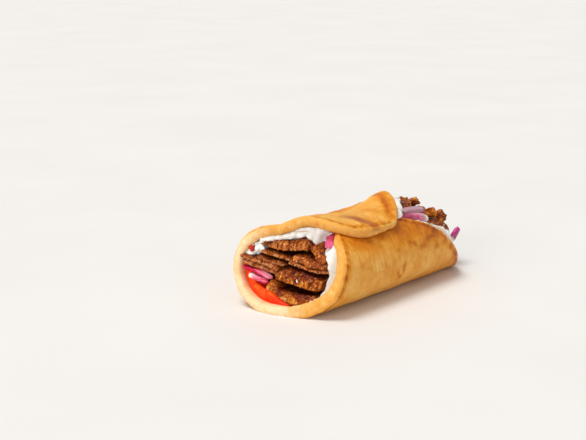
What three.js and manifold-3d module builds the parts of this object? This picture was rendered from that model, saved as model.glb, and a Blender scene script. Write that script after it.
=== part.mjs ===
// A gyro wrap: a thick flatbread rolled round gyro meat, tomato, red onion and yogurt sauce, lying on its side.
// Units are millimetres. +X runs from the front mouth to the far mouth, +Y points to the side that the bread's
// flap comes from, and +Z is up. The origin is at the bottom centre of the wrap's box.
import * as THREE from "three";
import { mergeVertices } from "three/addons/utils/BufferGeometryUtils.js";
import Module from "manifold-3d";

const wasm = await Module();
wasm.setup();

// ---------------------------------------------------------------- driving dimensions

const BREAD_THICKNESS = 6.5;
const PRESSED_FLAT = 2.2; // how deep the underside is flattened by the wrap's weight
const FLAP_GAP = 0.8; // air between the flap and the bread under it
const CLEARANCE = 0.4; // gap between neighbouring pieces
const LINING_GAP = 0.7; // gap between the bread and what is spread along its inside

// The roll's section, at stations [x, value]: half width, height and sideways drift of its centre.
const HALF_WIDTH = [[-97, 42], [0, 40.8], [97, 33]];
const HEIGHT = [[-97, 60.5], [-40, 55], [10, 57], [97, 36]];
const DRIFT = [[-97, -4.4], [-30, -2.5], [97, -1]];
const SQUARENESS = 2.25; // exponent of the section's oval, 2 is an ellipse

// The bread's outline before rolling. Angles go round the roll, in degrees: 0 is the underside, 90 the back side,
// 180 the top, past 180 the flap that lies on the front side, and negative angles the front side under it.
const OUTLINE = {
  middleX: -14, // where the tucked edge reaches furthest round the roll
  tipX: -17.5, // where the flap does
  backAngle: 236, // the flap's tip
  frontAngle: 162, // the tucked edge
  mouthReach: 78,
  farReach: 106,
  mouthPower: { front: 3.2, back: 4 }, // a nearly straight edge round the front mouth
  farPower: { front: 1.95, back: 1.7 }, // a round edge at the far mouth
  farCut: 0.52, // how much the far edge draws back towards the top
  farDip: { angle: -150, spread: 26, share: 0.85 }, // and how much more it does at the tucked corner
  slant: 11, // how far the front mouth is skewed, on each side
  slantTurn: 50,
};

// The flap rises over the tucked edge between these angles, dips along its middle, and its far corner curls up.
const FLAP_RISE = { from: 148, to: 190 };
const FLAP_BENDS = [
  { height: 5, angle: 198, x: 20, angleSpread: 36, xSpread: 24 },
  { height: -4.6, angle: 176, x: -21, angleSpread: 30, xSpread: 24 },
];

const BREAD_ROWS = { front: 17, back: 24 };
const BREAD_COLUMNS = 10;
const RIM_STEPS = 4;

// ---------------------------------------------------------------- small helpers

const radians = THREE.MathUtils.degToRad;
const smooth = (low, high, x) => THREE.MathUtils.smoothstep(x, low, high);
const bell = (x, middle, spread) => Math.exp(-(((x - middle) / spread) ** 2));

// The lowest polynomial through all the stations [x, value].
function through(stations, x) {
  let sum = 0;
  for (const [xi, value] of stations) {
    let weight = value;
    for (const [xj] of stations) {
      if (xj !== xi) weight *= (x - xj) / (xi - xj);
    }
    sum += weight;
  }
  return sum;
}

function indexed(positions, index) {
  return new THREE.BufferGeometry()
    .setAttribute("position", new THREE.Float32BufferAttribute(positions, 3))
    .setIndex(index);
}

// ---------------------------------------------------------------- the rolled bread

// A point of the bread's middle sheet at an angle round the roll and a place along X. `out` moves it outwards.
function sheetPoint(angle, x, out = 0) {
  const half = BREAD_THICKNESS / 2;
  const halfWidth = through(HALF_WIDTH, x) - half;
  const halfHeight = through(HEIGHT, x) / 2 - half + PRESSED_FLAT / 2;
  const s = Math.sin(radians(angle));
  const c = Math.cos(radians(angle));
  const reachY = Math.abs(s / halfWidth) ** SQUARENESS;
  const reachZ = Math.abs(c / halfHeight) ** SQUARENESS;
  const lift = (BREAD_THICKNESS + FLAP_GAP) * smooth(FLAP_RISE.from, FLAP_RISE.to, angle);
  let radius = (reachY + reachZ) ** (-1 / SQUARENESS) + lift + out;
  for (const bend of FLAP_BENDS) {
    radius += bend.height * bell(angle, bend.angle, bend.angleSpread) * bell(x, bend.x, bend.xSpread);
  }
  return new THREE.Vector3(x, through(DRIFT, x) + radius * s, halfHeight + half - PRESSED_FLAT - radius * c);
}

// The unit normal of the sheet, pointing out of the roll.
function sheetNormal(angle, x) {
  const round = sheetPoint(angle + 0.5, x).sub(sheetPoint(angle - 0.5, x));
  const along = sheetPoint(angle, x + 0.5).sub(sheetPoint(angle, x - 0.5));
  return round.cross(along).normalize();
}

// Where the bread's edge crosses an angle: its X at the front mouth and at the far mouth. `inset` is how far
// inside the real edge, so that half a thickness is left for the rounded rim.
function edges(angle, inset = BREAD_THICKNESS / 2) {
  const insetAngle = inset / (radians(1) * HALF_WIDTH[1][1]);
  const side = angle > 0 ? "back" : "front";
  const reachRound = (angle > 0 ? OUTLINE.backAngle : OUTLINE.frontAngle) - insetAngle;
  const share = Math.min(1, Math.abs(angle) / reachRound);
  const reach = (length, power) => length * (1 - share ** power) ** (1 / power);
  const mouth = reach(OUTLINE.mouthReach - inset, OUTLINE.mouthPower[side]);
  const draw = 1 - OUTLINE.farCut * Math.sin(radians(THREE.MathUtils.clamp(angle, -180, 180) / 2)) ** 2;
  const dip = 1 - OUTLINE.farDip.share * bell(angle, OUTLINE.farDip.angle, OUTLINE.farDip.spread);
  const far = reach(OUTLINE.farReach - inset, OUTLINE.farPower[side]) * draw * dip;
  const slant = OUTLINE.slant * Math.sin(radians(angle + OUTLINE.slantTurn));
  const middle = THREE.MathUtils.lerp(OUTLINE.middleX, OUTLINE.tipX, smooth(180, OUTLINE.backAngle, angle));
  return {
    mouth: middle - mouth - slant * smooth(0, 1, mouth / OUTLINE.mouthReach),
    far: middle + far,
  };
}

// The angles of the bread's rows of points, closer together towards the flap's tip and the tucked edge.
function rowAngles() {
  const angles = [];
  const { front, back } = BREAD_ROWS;
  for (let i = -front; i <= back; i++) {
    const share = i < 0 ? -i / front : i / back;
    const insetAngle = BREAD_THICKNESS / 2 / (radians(1) * HALF_WIDTH[1][1]);
    const reach = (i < 0 ? OUTLINE.frontAngle : OUTLINE.backAngle) - insetAngle;
    angles.push(Math.sign(i) * reach * (1 - (1 - share) ** 1.35));
  }
  return angles;
}

// The bread: a grid on each face and a half-round rim between them. `grow` makes it that much bigger all over,
// for cutting clearance in what it holds.
function breadGeometry(grow = 0) {
  const half = BREAD_THICKNESS / 2 + grow;
  const angles = rowAngles();
  const rows = angles.length;
  const positions = [];
  const index = [];
  const add = (point) => positions.push(point.x, point.y, point.z) / 3 - 1;

  // One face, on the side +1 (out) or -1 (in) of the sheet.
  const grid = (side) => {
    const first = positions.length / 3;
    for (const angle of angles) {
      const { mouth, far } = edges(angle);
      for (let j = 0; j <= BREAD_COLUMNS; j++) {
        const x = THREE.MathUtils.lerp(mouth, far, j / BREAD_COLUMNS);
        const point = sheetPoint(angle, x).addScaledVector(sheetNormal(angle, x), side * half);
        add(point.setZ(Math.max(point.z, side > 0 ? -grow : CLEARANCE)));
      }
    }
    const at = (i, j) => first + i * (BREAD_COLUMNS + 1) + j;
    for (let i = 0; i + 1 < rows; i++) {
      for (let j = 0; j < BREAD_COLUMNS; j++) {
        const corners = [at(i, j), at(i + 1, j), at(i + 1, j + 1), at(i, j + 1)];
        if (side < 0) corners.reverse();
        const [a, b, c, d] = corners;
        index.push(a, b, c, a, c, d);
      }
    }
    return at;
  };
  const outer = grid(1);
  const inner = grid(-1);

  // The edge's points in order: the front mouth from the tucked edge to the flap's tip, then the far mouth back.
  const edge = [];
  for (let i = 0; i < rows; i++) edge.push([i, 0]);
  for (let i = rows - 2; i > 0; i--) edge.push([i, BREAD_COLUMNS]);
  const edgePoint = ([i, j]) => {
    const { mouth, far } = edges(angles[i]);
    return [angles[i], j === 0 ? mouth : far];
  };
  const strips = edge.map((place, k) => {
    const [angle, x] = edgePoint(place);
    const before = sheetPoint(...edgePoint(edge[(k + edge.length - 1) % edge.length]));
    const after = sheetPoint(...edgePoint(edge[(k + 1) % edge.length]));
    const normal = sheetNormal(angle, x);
    const outward = after.sub(before).cross(normal).normalize();
    const strip = [outer(...place)];
    for (let step = 1; step < RIM_STEPS; step++) {
      const turn = (Math.PI * step) / RIM_STEPS;
      const point = sheetPoint(angle, x)
        .addScaledVector(normal, half * Math.cos(turn))
        .addScaledVector(outward, half * Math.sin(turn));
      strip.push(add(point.setZ(Math.max(point.z, -grow))));
    }
    strip.push(inner(...place));
    return strip;
  });
  strips.forEach((strip, k) => {
    const next = strips[(k + 1) % strips.length];
    for (let step = 0; step < RIM_STEPS; step++) {
      index.push(strip[step], strip[step + 1], next[step + 1], strip[step], next[step + 1], next[step]);
    }
  });
  return indexed(positions, index);
}

// ---------------------------------------------------------------- solids and cuts

function solidOf(geometry) {
  const bare = geometry.clone();
  bare.deleteAttribute("normal");
  bare.deleteAttribute("uv");
  const merged = mergeVertices(bare, 1e-4);
  const corners = [];
  for (let i = 0; i < merged.index.count; i += 3) {
    const [a, b, c] = [0, 1, 2].map((n) => merged.index.getX(i + n));
    if (a !== b && b !== c && c !== a) corners.push(a, b, c);
  }
  return new wasm.Manifold(
    new wasm.Mesh({
      numProp: 3,
      vertProperties: merged.attributes.position.array,
      triVerts: new Uint32Array(corners),
    }),
  );
}

function geometryOf(solid) {
  const { vertProperties, triVerts } = solid.getMesh();
  return new THREE.BufferGeometry()
    .setAttribute("position", new THREE.BufferAttribute(vertProperties, 3))
    .setIndex(new THREE.BufferAttribute(triVerts, 1));
}

const largest = (solid) => solid.decompose().reduce((a, b) => (a.volume() > b.volume() ? a : b));

// A slab: a box of cells whose corners are moved to place(u, v, w), each of u, v, w going from -1 to 1.
function slab(cellsU, cellsV, cellsW, place) {
  const box = new THREE.BoxGeometry(2, 2, 2, cellsU, cellsV, cellsW);
  const corners = box.attributes.position;
  for (let i = 0; i < corners.count; i++) {
    const point = place(corners.getX(i), corners.getY(i), corners.getZ(i));
    corners.setXYZ(i, point.x, point.y, point.z);
  }
  return box;
}

// ---------------------------------------------------------------- yogurt sauce

// The sauce lines the top and the front side of the roll, from one mouth to the other. It starts above the back
// side, follows the inside of the flap, steps down inside the tucked edge and goes on along the front side. Its
// angles run on past 180, so 212 is the front side's -148.
const SAUCE = {
  fromAngle: 101,
  toAngle: 316,
  thickness: 2.2,
  ripple: 0.4,
  recess: 0.8, // how far it stays behind the bread's edge at the front mouth
  recessRipple: 1.2,
  farRecess: 3,
  thinnedEdge: 0.35,
};
// The step down from the flap to the tucked edge, and how much later it comes past the tucked edge's two corners.
const SAUCE_STEP = { from: 183, to: 195, later: 24 };
const FAR_CORNER = { from: -6, to: 8 };
const NEAR_CORNER = { from: -62, to: -48 };
// Where the edge of the sauce leaves the flap's edge for the tucked one.
const EDGE_STEP = { from: 198, to: 226 };
// Where it lies thicker at the front mouth: by the tomato, over the top, in the top corner and down the front side.
const SAUCE_HEAPS = [
  { angle: 108, spread: 11, height: 7 },
  { angle: 165, spread: 24, height: 4 },
  { angle: 208, spread: 22, height: 17 },
  { angle: 255, spread: 34, height: 13.5 },
];
const HEAPS_END = { from: -60, to: -25 };
// Where it swells out of the front mouth, in the top corner.
const SAUCE_SWELL = { angle: 222, spread: 20, reach: 3.5 };
// Where it lies thicker at the far mouth, and where it rises past the bread's edge there.
const FAR_HEAP = { angle: 254, spread: 34, height: 5, from: -10, to: 25 };
const SAUCE_TONGUES = [
  { angle: 206, spread: 23, reach: 15 },
  { angle: 250, spread: 27, reach: 15 },
];
// How it wells up behind the tucked edge there.
const SAUCE_WELL = { angle: 248, spread: 32, rise: 6.5, over: 5 };
// The last angles at which the flap and the tucked edge still guide the sauce.
const FLAP_GUIDE = 215;
const TUCK_GUIDE = -152;

function sauceThickness(angle, x) {
  const nearMouth = 1 - smooth(HEAPS_END.from, HEAPS_END.to, x);
  const farMouth = smooth(FAR_HEAP.from, FAR_HEAP.to, x);
  let thickness = SAUCE.thickness + SAUCE.ripple * Math.sin(angle / 6 + x / 9);
  thickness += farMouth * FAR_HEAP.height * bell(angle, FAR_HEAP.angle, FAR_HEAP.spread);
  for (const heap of SAUCE_HEAPS) thickness += nearMouth * heap.height * bell(angle, heap.angle, heap.spread);
  return thickness;
}

function sauceGeometry(grow = 0) {
  return slab(26, 9, 1, (u, v, w) => {
    const angle = THREE.MathUtils.lerp(SAUCE.fromAngle - grow, SAUCE.toAngle + grow, (u + 1) / 2);
    const flapAngle = Math.min(angle, FLAP_GUIDE);
    const frontAngle = Math.max(angle - 360, TUCK_GUIDE);
    const overFront = smooth(EDGE_STEP.from, EDGE_STEP.to, angle);
    let mouth = THREE.MathUtils.lerp(edges(flapAngle).mouth, edges(frontAngle).mouth, overFront);
    mouth += SAUCE.recess + SAUCE.recessRipple * Math.sin(angle / 7) * Math.sin(angle / 19);
    mouth -= SAUCE_SWELL.reach * bell(angle, SAUCE_SWELL.angle, SAUCE_SWELL.spread);
    let far = THREE.MathUtils.lerp(edges(flapAngle, 0).far, edges(frontAngle, 0).far, overFront) - SAUCE.farRecess;
    for (const tongue of SAUCE_TONGUES) far += tongue.reach * bell(angle, tongue.angle, tongue.spread);
    const x = THREE.MathUtils.lerp(mouth, far, (v + 1) / 2);

    const pastCorner = smooth(FAR_CORNER.from, FAR_CORNER.to, x) + 1 - smooth(NEAR_CORNER.from, NEAR_CORNER.to, x);
    const later = SAUCE_STEP.later * pastCorner;
    const step = smooth(SAUCE_STEP.from + later, SAUCE_STEP.to + later, angle);
    const taper = 1 - SAUCE.thinnedEdge * Math.max(Math.abs(u), Math.abs(v)) ** 12;
    const outside = grow - BREAD_THICKNESS / 2 - LINING_GAP;
    const pastEdge = smooth(0, SAUCE_WELL.over, x - edges(frontAngle, 0).far);
    const well = SAUCE_WELL.rise * bell(angle, SAUCE_WELL.angle, SAUCE_WELL.spread) * pastEdge;
    const out = w > 0 ? outside + well : outside - sauceThickness(angle, x) * taper - 2 * grow;
    const onFlap = sheetPoint(Math.min(angle, SAUCE_STEP.to + SAUCE_STEP.later), x, out);
    const onFront = sheetPoint(Math.max(angle, SAUCE_STEP.from) - 360, x, out);
    return onFlap.lerp(onFront, step).add(new THREE.Vector3(grow * v, 0, 0));
  });
}

// ---------------------------------------------------------------- tomato

// A wedge of tomato stands on the bread at the back of the front mouth, its skin against the bread.
const TOMATO = { angle: 41, halfSpan: 54, length: 52, thickness: 8.6, rimThickness: 1.2, recess: 2.5 };
// A small scrap of tomato lies above it, against the bread.
const TOMATO_SCRAP = { at: [-90, 26.5, 38.5], size: [8, 6.5, 7], phase: 0.5 };

function tomatoGeometry(grow = 0) {
  return slab(10, 5, 2, (u, v, w) => {
    const angle = TOMATO.angle + (TOMATO.halfSpan + grow) * u;
    const share = (v + 1) / 2;
    const mouth = edges(angle).mouth + TOMATO.recess - grow;
    const length = TOMATO.length * (1 - 0.35 * u * u) + 2 * grow;
    const roundAcross = (1 - Math.abs(u) ** 2.4) ** 0.75 * (1 - 0.55 * smooth(0.1, 0.9, -u));
    const pointedInside = 1 - 0.85 * smooth(0.25, 1, share);
    const swell = (TOMATO.thickness - TOMATO.rimThickness) * roundAcross * pointedInside;
    const thickness = TOMATO.rimThickness + swell;
    const outside = grow - BREAD_THICKNESS / 2 - LINING_GAP;
    const out = outside - ((1 - w) / 2) * (thickness + 2 * grow);
    return sheetPoint(angle, mouth + share * length + 0.5 * (1 - w * w) * v, out);
  });
}

// ---------------------------------------------------------------- meat

// A slice of meat between the middles of its two ends. Its near end follows the slanting mouth, by `skew` of X for
// each unit across and by `lean` for each unit up. Its far end slants by `farSkew` and draws back by `farRound` at
// the sides. `roll` turns it about its length, `wedge` makes the +Y side thicker, `cup` raises both sides, `hook`
// the +Y side and `arch` the middle of its length. Waves make its faces and edges uneven, by about `rough`.
function meatGeometry(slice, grow = 0) {
  const { near, far, width, thick, roll, skew = 0.45, lean = 0.5, wedge = 0, cup = 0, arch = 0 } = slice;
  const { hook = 0, farSkew = 0, farRound = 0, rough = 0.55, phase } = slice;
  const start = new THREE.Vector3(...near);
  const run = new THREE.Vector3(...far).sub(start);
  const length = run.length();
  const along = run.clone().normalize();
  const across = new THREE.Vector3(0, 0, 1).cross(along).normalize().applyAxisAngle(along, radians(-roll));
  const up = along.clone().cross(across);
  return slab(8, 4, 2, (u, v, w) => {
    const t = (u + 1) / 2;
    const ripple = Math.sin(5.3 * t + 2.2 * v + phase) + 0.6 * Math.sin(12 * t - 4.3 * v + 2.7 * phase);
    const ragged = Math.sin(4.1 * v + 3 * phase) + 0.7 * Math.sin(9.2 * v - phase);
    const halfThick = (thick / 2) * (1 + wedge * v) * (1 - 0.2 * v ** 4) * (1 + 0.09 * ripple) + grow;
    const halfWidth = (width / 2) * (1 - 0.08 * u ** 4) * (1 - 0.06 * w * w) + grow;
    const bend = cup * v * v + hook * Math.max(0, v) ** 3 + arch * (1 - u * u);
    const rise = w * halfThick + bend + 0.6 * rough * ripple;
    const slant = (1 - t) * (-skew * v * halfWidth + lean * rise) + t * (farSkew * v - farRound * v * v);
    const end = u * (grow + 0.16 * thick * (1 - w * w) + rough * ragged * u * u);
    return start
      .clone()
      .addScaledVector(along, t * length + slant + end)
      .addScaledVector(across, v * halfWidth + rough * 0.8 * Math.sin(9 * t + phase) * v * v)
      .addScaledVector(up, rise);
  });
}

// The slices whose ends show in the front mouth, from the top down.
const FRONT_MEAT = [
  {
    near: [-79.2, 6.4, 42.6], far: [4, 6, 44], width: 33, thick: 7, roll: 2.6, phase: 0.4,
    wedge: -0.36, skew: 0.58, hook: 1.6,
  },
  {
    near: [-66.6, -13.2, 39.2], far: [6, -18, 38], width: 24.4, thick: 6.8, roll: -39, phase: 1.7,
    skew: -0.24, lean: 1,
  },
  { near: [-85, 9, 35.3], far: [-14, 12, 35], width: 23, thick: 2.2, roll: -17, phase: 2.9, arch: -0.8 },
  { near: [-88, 13, 31.6], far: [-20, 15, 31], width: 19, thick: 2.4, roll: -16, phase: 4.1 },
  { near: [-76.4, -13.2, 31.9], far: [8, -14, 31], width: 25.4, thick: 4.2, roll: -12, phase: 5.2, cup: 1 },
  { near: [-78.2, -14, 28.2], far: [2, -14, 26.4], width: 28.8, thick: 2, roll: -10, phase: 0.9, cup: 1.6 },
  { near: [-92.6, 17.8, 30.7], far: [-18, 18, 28], width: 28.5, thick: 2.3, roll: -18, phase: 2.2 },
  { near: [-93.8, 16.7, 28], far: [-26, 17, 24.6], width: 25, thick: 2.2, roll: -18, phase: 3.6 },
  { near: [-84.4, -11.8, 21.8], far: [4, -11, 19], width: 31, thick: 7.6, roll: -12, phase: 1.2 },
  { near: [-90.6, -7.6, 10], far: [6, -6, 9.5], width: 35.5, thick: 6.6, roll: 0, wedge: 0.3, phase: 4.8, hook: 6 },
];

// The slices that fill the far mouth, from the bottom up. They step back towards the top.
const FAR_MEAT = [
  { near: [12, -3, 9.6], far: [76, -2, 9.5], width: 40, thick: 7.2, roll: 0, phase: 0.3, cup: 1.5 },
  { near: [14, 1, 19], far: [86, 1, 17], width: 48, thick: 7.4, roll: -3, phase: 1.4 },
  { near: [16, 1, 28.6], far: [90, 0, 25.6], width: 48, thick: 7, roll: 2, phase: 2.6, farRound: 15 },
  { near: [16, 1, 38], far: [79, 0, 33.2], width: 45, thick: 6.6, roll: -2, phase: 3.9, arch: 1.4 },
  { near: [14, 3, 45.4], far: [64, 3, 42.8], width: 34, thick: 7, roll: -2, phase: 5.1, farRound: 5 },
  { near: [-4, 3, 52.6], far: [49, 2, 51], width: 20, thick: 6, roll: 4, phase: 0.8, farRound: 3 },
].map((slice) => ({ skew: 0, lean: 0, farSkew: 5, farRound: 10, rough: 0.9, ...slice }));

// Crisp scraps of meat on the far heap: the middle of each and its size.
const MEAT_SCRAPS = [
  { at: [54.5, 1, 50.8], size: [8, 6, 5.6], phase: 1 },
  { at: [62, -9, 43.4], size: [8, 7, 7.4], phase: 2.5 },
  { at: [75.5, -10, 38.6], size: [8, 8, 6.6], phase: 4 },
];

// A knobbly scrap.
function scrapGeometry({ at, size, phase }, grow = 0) {
  const [length, width, height] = size.map((side) => side / 2);
  return slab(3, 3, 3, (u, v, w) => {
    const round = new THREE.Vector3(u, v, w).normalize();
    const swell = 1 + 0.24 * Math.sin(3.1 * u + 2.4 * v + phase) + 0.18 * Math.sin(4.3 * w - 2 * v + phase);
    return new THREE.Vector3(
      at[0] + round.x * (length * swell + grow),
      at[1] + round.y * (width * swell + grow),
      at[2] + round.z * (height * swell + grow),
    );
  });
}

// ---------------------------------------------------------------- onion

// A strip of onion layer: a bar from one end to the other, `thick` up and `deep` across, and bowed upwards by `bow`
// like the ring it was cut from. Its ends are rounded and slimmer by the share `taper`, and it curls down at its
// sides. A bar that lies across the wrap starts at the mouth and goes `deep` inwards, without the curl.
const ONIONS = [
  { name: "red_onion_front_1", from: [-100, 27.5, 27.4], to: [-93.6, 6, 21.2], thick: 2.8, deep: 9, bow: 0.6 },
  { name: "red_onion_front_2", from: [-100, 22, 22.2], to: [-95.6, 7.5, 18], thick: 3.4, deep: 8, bow: 0.4 },
  {
    name: "red_onion_front_3", from: [-67.2, -21.8, 47], to: [-40, -22, 43.5], thick: 10.4, deep: 8,
    bow: 1.4, taper: 0.12,
  },
  { name: "red_onion_far_1", from: [27, -9, 49.4], to: [53, -9, 46.8], thick: 5.4, deep: 9, bow: 0.8 },
  { name: "red_onion_far_2", from: [9, -21.5, 50.2], to: [41.5, -21.5, 45], thick: 4.8, deep: 9, bow: 1.2 },
  { name: "red_onion_far_3", from: [79, -17, 19], to: [88.4, -17, 28.4], thick: 4, deep: 4.4, bow: 0.8 },
];

function onionGeometry({ from, to, thick, deep, bow, taper = 0.36 }, grow = 0) {
  const start = new THREE.Vector3(...from);
  const run = new THREE.Vector3(...to).sub(start);
  const length = run.length();
  const along = run.clone().normalize();
  const up = new THREE.Vector3(0, 0, 1).addScaledVector(along, -along.z).normalize();
  const side = up.clone().cross(along);
  const inward = Math.abs(side.x) > 0.5 ? Math.sign(side.x) : 0;
  const curl = inward === 0 ? 0.11 * deep : 0;
  return slab(6, 2, 2, (u, v, w) => {
    const slim = 1 - taper * u ** 4;
    const roundEnd = 0.5 * taper * deep * v * v * u * u;
    return start
      .clone()
      .addScaledVector(along, ((u + 1) / 2) * length + u * (grow - roundEnd))
      .addScaledVector(side, (v + inward) * (deep / 2) * (1 - 0.14 * w * w) * slim + v * grow)
      .addScaledVector(up, w * ((thick / 2) * (1 - 0.18 * v * v) * slim + grow) + bow * (1 - u * u) - curl * v * v);
  });
}

// ---------------------------------------------------------------- the assembly

const material = (color, roughness) => new THREE.MeshStandardMaterial({ color, roughness, metalness: 0 });
const BREAD = material(0xd9a25c, 0.75);
const MEAT = material(0x8a4a26, 0.5);
const ONION = material(0xc4558c, 0.3);
const YOGURT = material(0xf3efe6, 0.35);
const TOMATO_RED = material(0xe8501c, 0.25);

// Every piece, in the order of cutting: each gives way, with clearance, to all the pieces before it.
const pieces = [
  { name: "pita_bread", look: BREAD, shape: breadGeometry },
  { name: "tomato_wedge", look: TOMATO_RED, shape: tomatoGeometry },
  { name: "yogurt_sauce", look: YOGURT, shape: sauceGeometry },
  { name: "tomato_piece", look: TOMATO_RED, shape: (grow) => scrapGeometry(TOMATO_SCRAP, grow) },
  ...ONIONS.map((onion) => ({ name: onion.name, look: ONION, shape: (grow) => onionGeometry(onion, grow) })),
  ...FRONT_MEAT.map((slice, i) => ({
    name: `gyro_meat_front_${i + 1}`,
    look: MEAT,
    shape: (grow) => meatGeometry(slice, grow),
  })),
  ...FAR_MEAT.map((slice, i) => ({
    name: `gyro_meat_far_${i + 1}`,
    look: MEAT,
    shape: (grow) => meatGeometry(slice, grow),
  })),
  ...MEAT_SCRAPS.map((scrap, i) => ({
    name: `crisp_meat_scrap_${i + 1}`,
    look: MEAT,
    shape: (grow) => scrapGeometry(scrap, grow),
  })),
];

const wrap = new THREE.Group();
const cutters = [];
for (const { name, look, shape } of pieces) {
  let solid = solidOf(shape());
  for (const cutter of cutters) solid = solid.subtract(cutter);
  cutters.push(solidOf(shape(CLEARANCE)));
  const mesh = new THREE.Mesh(geometryOf(largest(solid)), look);
  mesh.name = name;
  wrap.add(mesh);
}

// The origin goes to the bottom centre of the whole box.
const box = new THREE.Box3().setFromObject(wrap, true);
const middle = box.getCenter(new THREE.Vector3());
wrap.position.set(-middle.x, -middle.y, -box.min.z);

export default wrap;
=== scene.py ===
"""The looks of a gyro wrap: griddled flatbread, sliced meat, tomato, red onion and yogurt sauce.

Shapes are worked out in millimetres in the wrap's own frame: +X runs from the front mouth to the far mouth,
+Y points to the side that the bread's flap comes from, and +Z is up. ORIGIN is where the part's origin lies
in it. The sizes of the bread repeat those of the solid that it stands for.
"""

from functools import reduce
from itertools import product

import bpy
import numpy as np
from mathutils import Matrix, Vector


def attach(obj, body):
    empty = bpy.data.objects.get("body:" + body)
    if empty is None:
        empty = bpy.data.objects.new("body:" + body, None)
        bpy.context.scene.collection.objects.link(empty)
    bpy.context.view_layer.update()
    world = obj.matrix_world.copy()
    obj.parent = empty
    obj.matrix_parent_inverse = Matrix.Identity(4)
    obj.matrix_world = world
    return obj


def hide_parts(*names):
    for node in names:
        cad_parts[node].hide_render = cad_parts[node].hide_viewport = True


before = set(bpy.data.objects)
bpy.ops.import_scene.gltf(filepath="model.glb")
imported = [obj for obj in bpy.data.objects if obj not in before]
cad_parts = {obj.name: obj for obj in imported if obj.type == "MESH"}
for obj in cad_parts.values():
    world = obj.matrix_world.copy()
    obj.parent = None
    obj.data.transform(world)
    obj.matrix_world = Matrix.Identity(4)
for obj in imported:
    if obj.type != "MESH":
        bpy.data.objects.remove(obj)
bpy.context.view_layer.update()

MM = 0.001
ORIGIN = np.array([-5.462, -3.396, 0.0])  # the part's origin in the wrap's own frame


# ---------------------------------------------------------------- numbers


def smooth(low, high, x):
    share = np.clip((x - low) / (high - low), 0, 1)
    return share * share * (3 - 2 * share)


def bell(x, middle, spread):
    return np.exp(-(((x - middle) / spread) ** 2))


def through(stations, x):
    """The polynomial through all the stations [x, value]."""
    total = 0
    for xi, value in stations:
        weight = value
        for xj, _ in stations:
            if xj != xi:
                weight = weight * (x - xj) / (xi - xj)
        total = total + weight
    return total


# Large numbers that tell places and seeds apart, and shifts and factors that stir their bits.
X_KEY, Y_KEY, Z_KEY, SEED_KEY = 73856093, 19349663, 83492791, 265443576
STIRS = ((13, 1274126177), (15, 2246822519))


def lattice(cell, seed):
    """A number from 0 to 1 for each whole-number place, the same each time."""
    mixed = cell[:, 0] * X_KEY ^ cell[:, 1] * Y_KEY ^ cell[:, 2] * Z_KEY ^ seed * SEED_KEY
    for shift, factor in STIRS:
        mixed = (mixed ^ (mixed >> shift)) * factor & 0xFFFFFFFF
    return (mixed >> 8 & 0xFFFF) / 65535.0


SEED_SHIFT = 7.31  # lumps, so that the lumps of two seeds don't lie in one grid


def noise(points, size, seed):
    """Smooth lumps of about `size` at points (N x 3), from -1 to 1."""
    spot = points / size + seed * SEED_SHIFT
    cell = np.floor(spot).astype(np.int64)
    part = spot - cell
    part = part * part * part * (part * (part * 6 - 15) + 10)
    total = np.zeros(len(points))
    for corner in product((0, 1), repeat=3):
        weight = np.prod(np.where(corner, part, 1 - part), axis=1)
        total += weight * lattice(cell + corner, seed)
    return total * 2 - 1


def layers(points, size, seed, count=3):
    """Lumps on lumps: noise at `size` and at ever smaller sizes."""
    total = sum(noise(points, size / 2**i, seed + i) / 2**i for i in range(count))
    return total / (2 - 0.5 ** (count - 1))


PEBBLES_MEAN = 0.45  # about


def pebbles(points, size, seed):
    """Round grains of about `size`, packed side by side: 1 on a grain's middle, 0 in the cracks between."""
    spot = points / size
    cell = np.floor(spot).astype(np.int64)
    nearest = np.full(len(points), 9.0)
    for corner in product((-1, 0, 1), repeat=3):
        place = cell + corner
        jitter = np.stack([lattice(place, seed + 11 * axis) for axis in range(3)], axis=1)
        nearest = np.minimum(nearest, ((place + jitter - spot) ** 2).sum(1))
    return np.clip(1 - nearest, 0, 1)


# ---------------------------------------------------------------- meshes


def new_object(name, data):
    thing = bpy.data.objects.new(name, data)
    bpy.context.scene.collection.objects.link(thing)
    return thing


def new_piece(name, points, faces, attributes=None):
    """A mesh object from points in mm in the wrap's frame, with one number or vector for each point."""
    mesh = bpy.data.meshes.new(name)
    mesh.from_pydata(((np.asarray(points) - ORIGIN) * MM).tolist(), [], np.asarray(faces).tolist())
    mesh.validate()
    mesh.shade_smooth()
    set_attributes(mesh, attributes or {})
    return new_object(name, mesh)


def set_attributes(mesh, attributes):
    """Gives each point of a mesh a number or a vector. A single number holds for all points."""
    for name, values in attributes.items():
        values = np.asarray(values, np.float32)
        if values.ndim == 0:
            values = np.full(len(mesh.vertices), values)
        kind, field = ("FLOAT_VECTOR", "vector") if values.ndim == 2 else ("FLOAT", "value")
        mesh.attributes.new(name, kind, "POINT").data.foreach_set(field, values.ravel())


def points_of(mesh):
    """The points of a mesh in mm in the wrap's frame."""
    flat = np.zeros(len(mesh.vertices) * 3, np.float32)
    mesh.vertices.foreach_get("co", flat)
    return flat.reshape(-1, 3).astype(float) / MM + ORIGIN


def move_points(mesh, points):
    mesh.vertices.foreach_set("co", ((points - ORIGIN) * MM).astype(np.float32).ravel())
    mesh.update()


def normals_of(mesh):
    flat = np.zeros(len(mesh.vertices) * 3, np.float32)
    mesh.vertex_normals.foreach_get("vector", flat)
    return flat.reshape(-1, 3).astype(float)


def raise_points(piece, points, rise, lowest=-np.inf):
    """Moves a piece's points outwards by `rise` mm, but none below the height `lowest`, and returns them."""
    points = points + normals_of(piece.data) * rise[:, None]
    points[:, 2] = np.maximum(points[:, 2], lowest)
    move_points(piece.data, points)
    return points


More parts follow.
